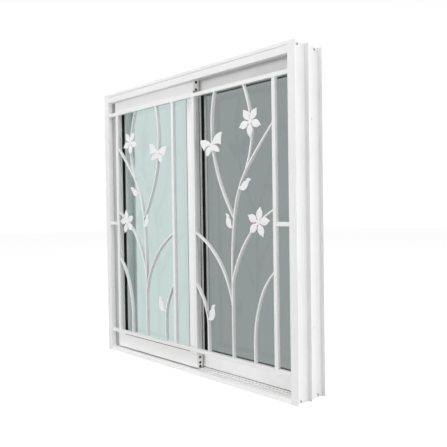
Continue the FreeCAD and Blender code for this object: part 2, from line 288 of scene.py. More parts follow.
@dataclass(frozen=True)
class ExtrudedRubber:
    """Extruded EPDM: near-black and matt, with fine die lines along its length."""

    name: str
    colour: str
    bloom: str
    roughness: float = 0.55
    roughness_spread: float = 0.12
    specular: float = 0.2
    bloom_mm: float = 35.0
    die_line_mm: float = 0.8
    die_line_stretch: tuple[float, float, float] = (1.0, 1.0, 0.02)
    die_line_height_mm: float = 0.05

    def build(self) -> bpy.types.Material:
        """Make the material.

        Returns:
            The new material.
        """
        material, output = new_material(self.name)
        tree = material.node_tree
        bloom = object_noise(tree, self.bloom_mm, 2.0)
        lines = object_noise(tree, self.die_line_mm, 0.0, self.die_line_stretch)
        bump = add_node(tree, "ShaderNodeBump", inputs={
            "Strength": 0.5, "Distance": self.die_line_height_mm * MM, "Height": lines})
        shader = add_node(tree, "ShaderNodeBsdfPrincipled", inputs={
            "Base Color": blend_colours(tree, bloom, self.colour, self.bloom),
            "Roughness": spread(tree, bloom, self.roughness, self.roughness + self.roughness_spread),
            "IOR": 1.5, "Specular IOR Level": self.specular, "Normal": bump.outputs["Normal"]})
        tree.links.new(shader.outputs["BSDF"], output.inputs["Surface"])
        return material


@dataclass(frozen=True)
class MouldedPlastic:
    """Injection-moulded plastic: slightly waxy, with a fine spark-eroded grain from its mould."""

    name: str
    colour: str
    shade: str
    roughness: float = 0.5
    roughness_spread: float = 0.05
    flow_mm: float = 12.0
    grain_mm: float = 0.7
    grain_height_mm: float = 0.03

    def build(self) -> bpy.types.Material:
        """Make the material.

        Returns:
            The new material.
        """
        material, output = new_material(self.name)
        tree = material.node_tree
        grain = object_noise(tree, self.grain_mm, 1.0)
        bump = add_node(tree, "ShaderNodeBump", inputs={
            "Strength": 0.4, "Distance": self.grain_height_mm * MM, "Height": grain})
        low, high = self.roughness - self.roughness_spread, self.roughness + self.roughness_spread
        shader = add_node(tree, "ShaderNodeBsdfPrincipled", inputs={
            "Base Color": blend_colours(tree, object_noise(tree, self.flow_mm), self.shade, self.colour),
            "Roughness": spread(tree, grain, low, high),
            "IOR": 1.53, "Normal": bump.outputs["Normal"]})
        tree.links.new(shader.outputs["BSDF"], output.inputs["Surface"])
        return material


@dataclass(frozen=True)
class TurnedSteel:
    """Screw steel, cold-headed and tumbled, bright or blackened: a soft metal with fine scratches."""

    name: str
    colour: str
    shade: str
    roughness: float = 0.32
    smoother: float = 0.06
    rougher: float = 0.08
    scratch_mm: float = 0.5
    scratch_stretch: tuple[float, float, float] = (1.0, 1.0, 6.0)
    scratch_depth_mm: float = 0.01

    def build(self) -> bpy.types.Material:
        """Make the material.

        Returns:
            The new material.
        """
        material, output = new_material(self.name)
        tree = material.node_tree
        scratches = object_noise(tree, self.scratch_mm, 2.0, self.scratch_stretch)
        bump = add_node(tree, "ShaderNodeBump", inputs={
            "Strength": 0.3, "Distance": self.scratch_depth_mm * MM, "Height": scratches})
        low, high = self.roughness - self.smoother, self.roughness + self.rougher
        shader = add_node(tree, "ShaderNodeBsdfPrincipled", inputs={
            "Base Color": blend_colours(tree, scratches, self.shade, self.colour), "Metallic": 1.0,
            "Roughness": spread(tree, scratches, low, high),
            "Normal": bump.outputs["Normal"]})
        tree.links.new(shader.outputs["BSDF"], output.inputs["Surface"])
        return material


@dataclass(frozen=True)
class WovenPile:
    """Siliconised polypropylene pile: soft near-black fibres that catch a little light at their tips."""

    name: str
    colour: str
    shade: str
    fibre_mm: float = 1.6

    def build(self) -> bpy.types.Material:
        """Make the material.

        Returns:
            The new material.
        """
        material, output = new_material(self.name)
        tree = material.node_tree
        fibres = object_noise(tree, self.fibre_mm, 1.0)
        shader = add_node(tree, "ShaderNodeBsdfPrincipled", inputs={
            "Base Color": blend_colours(tree, fibres, self.shade, self.colour), "Roughness": 0.85,
            "IOR": 1.49, "Sheen Weight": 0.3, "Sheen Roughness": 0.5})
        tree.links.new(shader.outputs["BSDF"], output.inputs["Surface"])
        return material


# The sash coat is a lighter copy of the frame coat: painted light that lifts the shade in the recessed sashes
# and on the sill. The cut plates have slight dents under their coat, wider and deeper than orange peel.
FRAME_COAT = PowderCoat("powder coated aluminium extrusion", "#e9e9e9", "#e5e5e5")
SHADE_LIFTED_COAT = PowderCoat("powder coated sash extrusion", "#f4f4f4", "#f1f1f0")
GRILLE_COAT = PowderCoat("powder coated grille bar", "#e9e9e9", "#e5e5e5", roughness=0.38)
PLATE_COAT = PowderCoat("powder coated cut plate", "#ededed", "#e4e4e4", roughness=0.36,
                        peel_mm=8.0, peel_height_mm=0.5)
CLEAR_PANE = FloatGlass("pale green float glass", "#c7d8d5", "#c5d6d3")
GREY_PANE = FloatGlass("grey tinted float glass", "#909997", "#8e9795")
GASKET = ExtrudedRubber("extruded EPDM gasket", "#101112", "#1c1d1e")
RUNNER = MouldedPlastic("moulded nylon", "#d8d6cd", "#cfcdc3")
SCREW_STEEL = TurnedSteel("cold headed stainless steel", "#b9babb", "#a2a3a5")
BLACK_SCREW = TurnedSteel("blackened cold headed steel", "#101112", "#0a0b0c", roughness=0.5)
# A pale grey cord in the head's groove: its grey is painted shade, standing in for the groove's shadow line.
GROOVE_SHADE_CORD = ExtrudedRubber("grey cord painted as groove shade", "#cecfcf", "#c5c6c6")
PILE = WovenPile("woven polypropylene pile", "#2b2c2c", "#1c1d1d")
SEALANT = MouldedPlastic("cured silicone sealant", "#d3d5d3", "#cacccb", roughness=0.35)
END_CAP = MouldedPlastic("moulded white nylon", "#f4f4f2", "#f0f0ed", roughness=0.45)


class Finishes:
    """The materials of the window, each made once."""

    def __init__(self) -> None:
        """Start with no material made."""
        self._made: dict[str, bpy.types.Material] = {}

    def get(self, finish: PowderCoat | FloatGlass | ExtrudedRubber | MouldedPlastic | TurnedSteel | WovenPile
            ) -> bpy.types.Material:
        """Give a finish's material.

        Args:
            finish: The finish asked for.

        Returns:
            Its material, made at the first call.
        """
        if finish.name not in self._made:
            self._made[finish.name] = finish.build()
        return self._made[finish.name]


def seat_piece(piece: bpy.types.Object, material: bpy.types.Material,
               replaced: Sequence[str] = ()) -> bpy.types.Object:
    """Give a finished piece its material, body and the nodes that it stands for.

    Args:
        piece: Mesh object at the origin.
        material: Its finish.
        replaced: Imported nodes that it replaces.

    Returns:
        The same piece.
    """
    piece.data.materials.clear()
    piece.data.materials.append(material)
    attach(piece, BODY)
    if replaced:
        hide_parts(*replaced)
    LOG.info("%s: %d faces, %s", piece.name, len(piece.data.polygons), material.name)
    return piece


def link_mesh(name: str, mesh: bpy.types.Mesh) -> bpy.types.Object:
    """Put a mesh in the scene as an object at the origin.

    Args:
        name: Name of the piece.
        mesh: Its mesh.

    Returns:
        The new object.
    """
    piece = bpy.data.objects.new(name, mesh)
    bpy.context.scene.collection.objects.link(piece)
    return piece


def settle(piece: bpy.types.Object) -> bpy.types.Object:
    """Turn a piece with modifiers into a plain mesh.

    Args:
        piece: Object whose modifiers are applied.

    Returns:
        The same object, with no modifier left.
    """
    graph = bpy.context.evaluated_depsgraph_get()
    plain = bpy.data.meshes.new_from_object(piece.evaluated_get(graph))
    piece.modifiers.clear()
    piece.data = plain
    return piece


def grow(name: str, tree: bpy.types.NodeTree, values: dict[str, object],
         carrier: bpy.types.Mesh | None = None) -> bpy.types.Object:
    """Run a Geometry Nodes tree and keep what it makes as a plain mesh.

    Args:
        name: Name of the piece.
        tree: Tree with named inputs.
        values: Values of the inputs by name.
        carrier: Mesh that the tree starts from, empty if not given.

    Returns:
        The new piece, at the origin.
    """
    piece = link_mesh(name, carrier or bpy.data.meshes.new(name))
    modifier = piece.modifiers.new("recipe", "NODES")
    modifier.node_group = tree
    for item in tree.interface.items_tree:
        if item.in_out == "INPUT" and item.name in values:
            modifier[item.identifier] = values[item.name]
    return settle(piece)


def new_recipe(name: str, inputs: dict[str, tuple[str, object]]) -> tuple[bpy.types.NodeTree, bpy.types.Node]:
    """Start a Geometry Nodes tree with named inputs.

    Args:
        name: Name of the tree.
        inputs: Socket type and default value of each input by name.

    Returns:
        The tree and its input node.
    """
    tree = bpy.data.node_groups.new(name, "GeometryNodeTree")
    tree.interface.new_socket("Geometry", in_out="OUTPUT", socket_type="NodeSocketGeometry")
    tree.interface.new_socket("Geometry", in_out="INPUT", socket_type="NodeSocketGeometry")
    for key, (kind, value) in inputs.items():
        tree.interface.new_socket(key, in_out="INPUT", socket_type=kind).default_value = value
    return tree, tree.nodes.new("NodeGroupInput")


def close_recipe(tree: bpy.types.NodeTree, shape: bpy.types.NodeSocket,
                 material: bpy.types.Material) -> None:
    """End a tree in real geometry with its material.

    Args:
        tree: Tree to end.
        shape: Geometry that it made.
        material: Finish of that geometry.
    """
    real = add_node(tree, "GeometryNodeRealizeInstances", inputs={"Geometry": shape})
    coated = add_node(tree, "GeometryNodeSetMaterial", inputs={
        "Geometry": real.outputs["Geometry"], "Material": material})
    add_node(tree, "NodeGroupOutput", inputs={"Geometry": coated.outputs["Geometry"]})


def place_points(name: str, places_mm: Sequence[Sequence[float]],
                 outwards: Sequence[Sequence[float]]) -> bpy.types.Mesh:
    """Mesh of loose points that each know which way is outwards.

    Args:
        name: Name of the mesh.
        places_mm: Places in millimetres.
        outwards: Direction at each place.

    Returns:
        The mesh, with the directions in its attribute "outwards".
    """
    mesh = bpy.data.meshes.new(name)
    mesh.from_pydata([tuple(value * MM for value in place) for place in places_mm], [], [])
    attribute = mesh.attributes.new("outwards", "FLOAT_VECTOR", "POINT")
    for number, direction in enumerate(outwards):
        attribute.data[number].vector = direction
    return mesh


def loft(name: str, rings: Sequence[Sequence[Sequence[float]]], closed: bool) -> bpy.types.Object:
    """Join rings of the same number of points into one closed shell.

    Args:
        name: Name of the piece.
        rings: Rings of points in millimetres.
        closed: Whether the last ring joins the first. Otherwise the two end rings are filled.

    Returns:
        The new piece, at the origin.
    """
    shape = bmesh.new()
    loops = [[shape.verts.new([value * MM for value in point]) for point in ring] for ring in rings]
    pairs = list(zip(loops, loops[1:]))
    if closed:
        pairs.append((loops[-1], loops[0]))
    else:
        shape.faces.new(list(reversed(loops[0])))
        shape.faces.new(loops[-1])
    for near, far in pairs:
        for number in range(len(near)):
            after = (number + 1) % len(near)
            shape.faces.new([near[number], near[after], far[after], far[number]])
    bmesh.ops.recalc_face_normals(shape, faces=shape.faces)
    mesh = bpy.data.meshes.new(name)
    shape.to_mesh(mesh)
    shape.free()
    mesh.polygons.foreach_set("use_smooth", [True] * len(mesh.polygons))
    mesh.set_sharp_from_angle(angle=HARD_LOFT_ANGLE)
    return link_mesh(name, mesh)


def node_box_mm(node: str) -> tuple[Vector, Vector]:
    """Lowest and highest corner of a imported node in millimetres.

    Args:
        node: Name of the node.

    Returns:
        The two corners.
    """
    low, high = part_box(node)
    return Vector(low) / MM, Vector(high) / MM


def eased_copy(node: str, ease_mm: float, shortest_mm: float = 3.0, segments: int = 2,
               crown_mm: Sequence[tuple[float, float]] = ()) -> bpy.types.Object:
    """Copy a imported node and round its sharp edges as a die, a saw burr brush or a coat does.

    Args:
        node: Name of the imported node.
        ease_mm: Width of the rounding.
        shortest_mm: Edges shorter than this stay sharp, such as the rim of a small bore.
        segments: Faces across the rounding.
        crown_mm: Steps inwards and forwards that raise the front as pressing does.

    Returns:
        The new piece, at the origin.
    """
    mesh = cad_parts[node].data.copy()
    piece = link_mesh("dressed_" + node, mesh)
    shape = bmesh.new()
    shape.from_mesh(mesh)
    bmesh.ops.remove_doubles(shape, verts=shape.verts, dist=MERGE_MM * MM)
    bmesh.ops.dissolve_limit(shape, angle_limit=FLAT_ANGLE, verts=shape.verts, edges=shape.edges)
    front = [face for face in shape.faces if face.normal.y < FRONT_NORMAL]
    for step, rise in crown_mm:
        bmesh.ops.inset_region(shape, faces=front, thickness=step * MM, depth=rise * MM,
                               use_boundary=True, use_even_offset=True)
    sharp = [edge for edge in shape.edges if len(edge.link_faces) == 2
             and edge.calc_face_angle() > EASED_ANGLE and edge.calc_length() > shortest_mm * MM]
    bmesh.ops.bevel(shape, geom=sharp, offset=ease_mm * MM, offset_type="OFFSET", segments=segments,
                    profile=0.5, affect="EDGES", clamp_overlap=False)
    shape.to_mesh(mesh)
    shape.free()
    mesh.polygons.foreach_set("use_smooth", [True] * len(mesh.polygons))
    mesh.set_sharp_from_angle(angle=HARD_ANGLE)
    weighted = piece.modifiers.new("weighted", "WEIGHTED_NORMAL")
    weighted.keep_sharp = True
    return settle(piece)


@dataclass
class CrossHeadScrews:
    """Domed screws with a cross recess, driven into the points that carry them."""

    finishes: Finishes
    name: str
    finish: TurnedSteel
    radius_mm: float = 4.0
    height_mm: float = 2.2
    recess_mm: float = 0.9
    # Length and width of each bar of the cross, as shares of the head's radius.
    arm_length: float = 1.1
    arm_width: float = 0.24
    # How far one cross may be turned from another, in radians.
    largest_turn: float = 1.5
    seed: int = 7

    def build(self, places_mm: Sequence[Sequence[float]], outwards: Sequence[Sequence[float]]) -> None:
        """Set one screw at each place.

        Args:
            places_mm: Middle of the underside of each head.
            outwards: Way that each head faces.
        """
        material = self.finishes.get(self.finish)
        tree, inputs = new_recipe("cross head screw", {
            "Radius": ("NodeSocketFloat", self.radius_mm * MM),
            "Height": ("NodeSocketFloat", self.height_mm * MM),
            "Recess": ("NodeSocketFloat", self.recess_mm * MM)})
        ball = add_node(tree, "GeometryNodeMeshUVSphere", inputs={"Segments": 24, "Rings": 12, "Radius": 1.0})
        scale = add_node(tree, "ShaderNodeCombineXYZ", inputs={
            "X": inputs.outputs["Radius"], "Y": inputs.outputs["Radius"], "Z": inputs.outputs["Height"]})
        dome = add_node(tree, "GeometryNodeTransform", inputs={
            "Geometry": ball.outputs["Mesh"], "Scale": scale.outputs["Vector"]})
        head = dome.outputs["Geometry"]
        for length, width in ((self.arm_length, self.arm_width), (self.arm_width, self.arm_length)):
            size = add_node(tree, "ShaderNodeCombineXYZ")
            for axis, share in (("X", length), ("Y", width)):
                part = add_node(tree, "ShaderNodeMath", {"operation": "MULTIPLY"},
                                {0: inputs.outputs["Radius"], 1: share})
                tree.links.new(part.outputs["Value"], size.inputs[axis])
            deep = add_node(tree, "ShaderNodeMath", {"operation": "MULTIPLY"},
                            {0: inputs.outputs["Recess"], 1: 2.0})
            tree.links.new(deep.outputs["Value"], size.inputs["Z"])
            bar = add_node(tree, "GeometryNodeMeshCube", inputs={"Size": size.outputs["Vector"]})
            lift = add_node(tree, "ShaderNodeCombineXYZ", inputs={"Z": inputs.outputs["Height"]})
            raised = add_node(tree, "GeometryNodeTransform", inputs={
                "Geometry": bar.outputs["Mesh"], "Translation": lift.outputs["Vector"]})
            cut = add_node(tree, "GeometryNodeMeshBoolean", {"operation": "DIFFERENCE", "solver": "MANIFOLD"},
                           {"Mesh 1": head, "Mesh 2": raised.outputs["Geometry"]})
            head = cut.outputs["Mesh"]
        named = add_node(tree, "GeometryNodeInputNamedAttribute", {"data_type": "FLOAT_VECTOR"},
                         {"Name": "outwards"})
        turn = add_node(tree, "FunctionNodeAlignRotationToVector", {"axis": "Z"},
                        {"Vector": named.outputs["Attribute"]})
        spin = add_node(tree, "FunctionNodeRandomValue", {"data_type": "FLOAT"}, {
            "Min": 0.0, "Max": self.largest_turn, "Seed": self.seed})
        angle = add_node(tree, "ShaderNodeCombineXYZ", inputs={"Z": spin.outputs[1]})
        turned = add_node(tree, "FunctionNodeRotateRotation", {"rotation_space": "LOCAL"}, {
            "Rotation": turn.outputs["Rotation"], "Rotate By": angle.outputs["Vector"]})
        heads = add_node(tree, "GeometryNodeInstanceOnPoints", inputs={
            "Points": inputs.outputs["Geometry"], "Instance": head, "Rotation": turned.outputs["Rotation"]})
        close_recipe(tree, heads.outputs["Instances"], material)
        values = {"Radius": self.radius_mm * MM, "Height": self.height_mm * MM, "Recess": self.recess_mm * MM}
        piece = grow(self.name, tree, values, place_points(self.name, places_mm, outwards))
        seat_piece(piece, material)


@dataclass
class PileStrip:
    """Woven weather strip: a flat backing with rows of soft tufts."""

    finishes: Finishes
    name: str
    backing_mm: float = 5.0
    backing_thickness_mm: float = 0.5
    pile_mm: float = 3.0
    tuft_gap_mm: float = 1.6
    tuft_share: float = 0.6
    tip_radius_mm: float = 0.2
    rows: int = 3
    # Bare edges of the backing, counted in rows, and the bare start of a row, counted in tufts.
    edge_rows: float = 0.6
    first_tuft: float = 0.25
    # Most that a tuft leans along each axis, as a share of its upright direction.
    largest_lean: float = 0.25
    seed: int = 11

    def build(self, start: Sequence[float], end: Sequence[float], outwards: Sequence[float]) -> None:
        """Lay the strip between two points.

        Args:
            start: One end of the middle of the backing, in millimetres.
            end: Its other end.
            outwards: Way that the pile stands.
        """
        material = self.finishes.get(PILE)
        along = (Vector(end) - Vector(start)).normalized()
        out = Vector(outwards)
        across = along.cross(out)
        places = []
        tufts = int((Vector(end) - Vector(start)).length / self.tuft_gap_mm)
        for row in range(self.rows):
            offset = (row - (self.rows - 1) / 2) * self.backing_mm / (self.rows + self.edge_rows)
            shift = self.tuft_gap_mm / 2 * (row % 2)
            for number in range(tufts):
                forward = shift + (number + self.first_tuft) * self.tuft_gap_mm
                places.append(Vector(start) + along * forward + across * offset)
        tuft_mm = self.tuft_gap_mm * self.tuft_share
        tree, inputs = new_recipe("pile strip", {
            "Pile": ("NodeSocketFloat", self.pile_mm * MM), "Tuft": ("NodeSocketFloat", tuft_mm * MM),
            "Seed": ("NodeSocketInt", self.seed)})
        cone = add_node(tree, "GeometryNodeMeshCone", {"fill_type": "NGON"}, {
            "Vertices": 4, "Radius Top": self.tip_radius_mm * MM, "Radius Bottom": inputs.outputs["Tuft"],
            "Depth": inputs.outputs["Pile"]})
        named = add_node(tree, "GeometryNodeInputNamedAttribute", {"data_type": "FLOAT_VECTOR"},
                         {"Name": "outwards"})
        stray = add_node(tree, "FunctionNodeRandomValue", {"data_type": "FLOAT_VECTOR"}, {
            "Min": (-self.largest_lean,) * 3, "Max": (self.largest_lean,) * 3,
            "Seed": inputs.outputs["Seed"]})
        lean = add_node(tree, "ShaderNodeVectorMath", {"operation": "ADD"}, {
            0: named.outputs["Attribute"], 1: stray.outputs[0]})
        turn = add_node(tree, "FunctionNodeAlignRotationToVector", {"axis": "Z"},
                        {"Vector": lean.outputs["Vector"]})
        tufted = add_node(tree, "GeometryNodeInstanceOnPoints", inputs={
            "Points": inputs.outputs["Geometry"], "Instance": cone.outputs["Mesh"],
            "Rotation": turn.outputs["Rotation"]})
        close_recipe(tree, tufted.outputs["Instances"], material)
        values = {"Pile": self.pile_mm * MM, "Tuft": tuft_mm * MM, "Seed": self.seed}
        name = self.name + "_pile"
        pile = grow(name, tree, values, place_points(name, places, [out] * len(places)))
        seat_piece(pile, material)
        half, thick = across * (self.backing_mm / 2), out * self.backing_thickness_mm
        rings = [[point - half, point + half, point + half + thick, point - half + thick]
                 for point in (Vector(start), Vector(end))]
        seat_piece(loft(self.name + "_backing", rings, closed=False), material)


@dataclass
class OuterFrame:
    """Head, sill and jambs, with their screws and weather strips.

    The sill takes the sashes' lighter coat, painted light that lifts the shade on it.
    """

    finishes: Finishes
    members: tuple[str, ...] = ("head", "sill", "left_jamb", "right_jamb")
    shade_lifted_members: tuple[str, ...] = ("sill",)
    ease_mm: float = 0.4
    outer_wall_mm: float = 487.5
    screw_depths_mm: tuple[float, float] = (26.0, 108.0)
    screw_height_mm: float = 8.0
    box_back_mm: float = 19.0
    strip_inset_mm: float = 3.5
    strip_end_gap_mm: float = 2.0
    cord_sides: int = 8
    cord_radius_mm: float = 0.8
    cord_depth_mm: float = 0.75
    cord_drop_mm: float = 11.0

    def build(self) -> None:
        """Ease and coat the four members, and add what they carry."""
        for member in self.members:
            # The sill's lighter coat is painted light that lifts the shade on it.
            coat = SHADE_LIFTED_COAT if member in self.shade_lifted_members else FRAME_COAT
            seat_piece(eased_copy(member, self.ease_mm), self.finishes.get(coat), [member])
        self.add_corner_screws()
        self.add_weather_strips()
        self.add_groove_shade_cord()

    def add_corner_screws(self) -> None:
        """Drive the screws that hold the head and the sill between the jambs."""
        low, high = Vector(CAD_BOX[0]) / MM, Vector(CAD_BOX[1]) / MM
        places, outwards = [], []
        for side in (-1, 1):
            for depth in self.screw_depths_mm:
                for height in (self.screw_height_mm, high.z - self.screw_height_mm):
                    places.append((side * self.outer_wall_mm, low.y + depth, height))
                    outwards.append((side, 0, 0))
        CrossHeadScrews(self.finishes, "corner_screws", SCREW_STEEL).build(places, outwards)

    def add_weather_strips(self) -> None:
        """Lay pile strips behind the front box of the jambs."""
        low, _ = node_box_mm("head")
        inner = node_box_mm("left_jamb")[1].x
        bottom = node_box_mm("sill")[1].z
        back = low.y + self.box_back_mm
        for side, name in ((-1, "left"), (1, "right")):
            across = side * (abs(inner) + self.strip_inset_mm)
            PileStrip(self.finishes, name + "_jamb_strip").build(
                (across, back, bottom + self.strip_end_gap_mm), (across, back, low.z - self.strip_end_gap_mm),
                (0, 1, 0))

    def add_groove_shade_cord(self) -> None:
        """Lay a pale grey cord in the groove along the head's front. Its grey is painted shade, standing in
        for the groove's shadow line.
        """
        low, high = node_box_mm("head")
        reach = abs(node_box_mm("left_jamb")[1].x)
        rings = []
        for across in (-reach, reach):
            ring = []
            for step in range(self.cord_sides):
                angle = math.tau * step / self.cord_sides
                ring.append((across, low.y + self.cord_depth_mm + self.cord_radius_mm * math.cos(angle),
                             high.z - self.cord_drop_mm + self.cord_radius_mm * math.sin(angle)))
            rings.append(ring)
        seat_piece(loft("head_groove_shade_cord", rings, closed=False), self.finishes.get(GROOVE_SHADE_CORD))


@dataclass
class EndCap:
    """Moulded cap on the open end of a sash rail, with rounded edges and its screws."""

    finishes: Finishes
    name: str
    thickness_mm: float = 2.6
    rounding_mm: float = 1.6
    rounding_steps: int = 3
    corner_mm: float = 5.0
    steps: int = 5
    screw_radius_mm: float = 5.2
    screw_height_mm: float = 0.9
    screw_recess_mm: float = 0.5
    screw_sink_mm: float = 0.3

    def outline(self, low: Vector, high: Vector, inset: float,
                across: float) -> list[tuple[float, float, float]]:
        """Rounded rectangle in the plane of the rail's end.

        Args:
            low: Lowest corner of the cap.
            high: Highest corner of the cap.
            inset: How far inside the full outline it lies.
            across: X of the plane.

        Returns:
            Points in millimetres, in order.
        """
        radius = self.corner_mm - inset
        points = []
        middles = ((high.y - self.corner_mm, high.z - self.corner_mm, 0),
                   (low.y + self.corner_mm, high.z - self.corner_mm, 90),
                   (low.y + self.corner_mm, low.z + self.corner_mm, 180),
                   (high.y - self.corner_mm, low.z + self.corner_mm, 270))
        for y, z, start in middles:
            for step in range(self.steps + 1):
                angle = math.radians(start + 90 * step / self.steps)
                points.append((across, y + radius * math.cos(angle), z + radius * math.sin(angle)))
        return points

    def build(self, low: Vector, high: Vector, side: int, screw_heights: Sequence[float]) -> None:
        """Make the cap and its screws.

        Args:
            low: Lowest corner of the covered end.
            high: Highest corner of the covered end.
            side: 1 for a cap that faces right, -1 for one that faces left.
            screw_heights: Heights of the screws.
        """
        base = high.x if side > 0 else low.x
        rings = [self.outline(low, high, 0.0, base)]
        for step in range(self.rounding_steps + 1):
            angle = math.radians(90 * step / self.rounding_steps)
            reach = self.thickness_mm - self.rounding_mm * (1 - math.sin(angle))
            inset = self.rounding_mm * (1 - math.cos(angle))
            rings.append(self.outline(low, high, inset, base + side * reach))
        seat_piece(loft(self.name, rings, closed=False), self.finishes.get(END_CAP))
        middle = (low.y + high.y) / 2
        face = base + side * (self.thickness_mm - self.screw_sink_mm)
        screws = CrossHeadScrews(self.finishes, self.name + "_screws", BLACK_SCREW, self.screw_radius_mm,
                                 self.screw_height_mm, self.screw_recess_mm)
        places = [(face, middle, height) for height in screw_heights]
        screws.build(places, [(side, 0, 0)] * len(places))


@dataclass
class SlidingSash:
    """One glazed sash with its gasket, sealant, end caps, weather strip and runners."""

    finishes: Finishes
    name: str
    pane: FloatGlass
    pane_slot: Slot
    bars: tuple[str, ...] = ("top_rail", "bottom_rail", "outer_stile", "meeting_stile")
    ease_mm: float = 0.35
    gasket_ease_mm: float = 0.6
    sealant_mm: float = 3.0
    sealant_lap_mm: float = 0.3
    gasket_width_mm: float = 2.5
    upright_bead_mm: float = 9.0
    level_bead_mm: float = 1.2
    # Where the slope of the sealant starts and ends, as shares of its width.
    bead_slope: tuple[float, float] = (0.9, 0.5)
    bead_chamfer_mm: float = 0.6
    strip_inset_mm: float = 3.0
    strip_end_gap_mm: float = 2.0
    strip_pile_mm: float = 3.6
    capped_side: int = 1
    cap_heights_mm: tuple[float, float] = (43.0, 52.0)
    top_screws_mm: tuple[float, ...] = (10.7, 36.5)
    bottom_screws_mm: tuple[float, ...] = (35.6, 16.8, 4.4)

    def build(self) -> None:
        """Dress the bars, the pane, the gasket and the runners, and add the small pieces."""
        for bar in self.bars:
            node = f"{self.name}_{bar}"
            seat_piece(eased_copy(node, self.ease_mm), self.finishes.get(SHADE_LIFTED_COAT), [node])
        gasket = f"{self.name}_gasket"
        seat_piece(eased_copy(gasket, self.gasket_ease_mm), self.finishes.get(GASKET),
                   [gasket])
        self.coat_node(f"{self.name}_glass", self.pane)
        self.coat_node(f"{self.name}_runners", RUNNER)
        self.add_sealant()
        self.add_end_caps()
        self.add_weather_strip()

    def add_sealant(self) -> None:
        """Run a flat bead of sealant over the joint of gasket and pane, wider on the upright edges."""
        low, high = node_box_mm(f"{self.name}_gasket")
        front = high.y - self.sealant_mm
        toe, crest = self.bead_slope
        profile = ((0.0, high.y), (1.0, high.y), (toe, front + self.bead_chamfer_mm), (crest, front),
                   (0.0, front))
        rings = []
        for share, depth in profile:
            side = self.gasket_width_mm - self.sealant_lap_mm + share * self.upright_bead_mm
            level = self.gasket_width_mm - self.sealant_lap_mm + share * self.level_bead_mm
            rings.append([(low.x + side, depth, low.z + level), (high.x - side, depth, low.z + level),
                          (high.x - side, depth, high.z - level), (low.x + side, depth, high.z - level)])
        seat_piece(loft(f"{self.name}_sealant", rings, closed=True), self.finishes.get(SEALANT))

    def add_end_caps(self) -> None:
        """Close the ends of both rails that show."""
        top_low, top_high = node_box_mm(f"{self.name}_top_rail")
        bottom_low, bottom_high = node_box_mm(f"{self.name}_bottom_rail")
        side = self.capped_side
        top_low.z = top_high.z - self.cap_heights_mm[0]
        bottom_high.z = bottom_low.z + self.cap_heights_mm[1]
        EndCap(self.finishes, f"{self.name}_top_cap").build(
            top_low, top_high, side, [top_high.z - drop for drop in self.top_screws_mm])
        EndCap(self.finishes, f"{self.name}_bottom_cap").build(
            bottom_low, bottom_high, side, [bottom_low.z + rise for rise in self.bottom_screws_mm])

    def add_weather_strip(self) -> None:
        """Lay a pile strip between the meeting stiles, on the edge that faces the other sash."""
        low, high = node_box_mm(f"{self.name}_meeting_stile")
        _, top = node_box_mm(f"{self.name}_top_rail")
        bottom, _ = node_box_mm(f"{self.name}_bottom_rail")
        front = self.capped_side > 0
        across = high.x - self.strip_inset_mm if front else low.x + self.strip_inset_mm
        back = high.y if front else low.y
        PileStrip(self.finishes, f"{self.name}_meeting_strip", pile_mm=self.strip_pile_mm).build(
            (across, back, bottom.z + self.strip_end_gap_mm), (across, back, top.z - self.strip_end_gap_mm),
            (0, 1 if front else -1, 0))

    def coat_node(self, node: str, finish: FloatGlass | MouldedPlastic) -> None:
        """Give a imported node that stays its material.

        Args:
            node: Name of the node.
            finish: Its finish.
        """
        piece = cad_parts[node]
        piece.data.materials.clear()
        piece.data.materials.append(self.finishes.get(finish))
        LOG.info("%s: %s", node, finish.name)


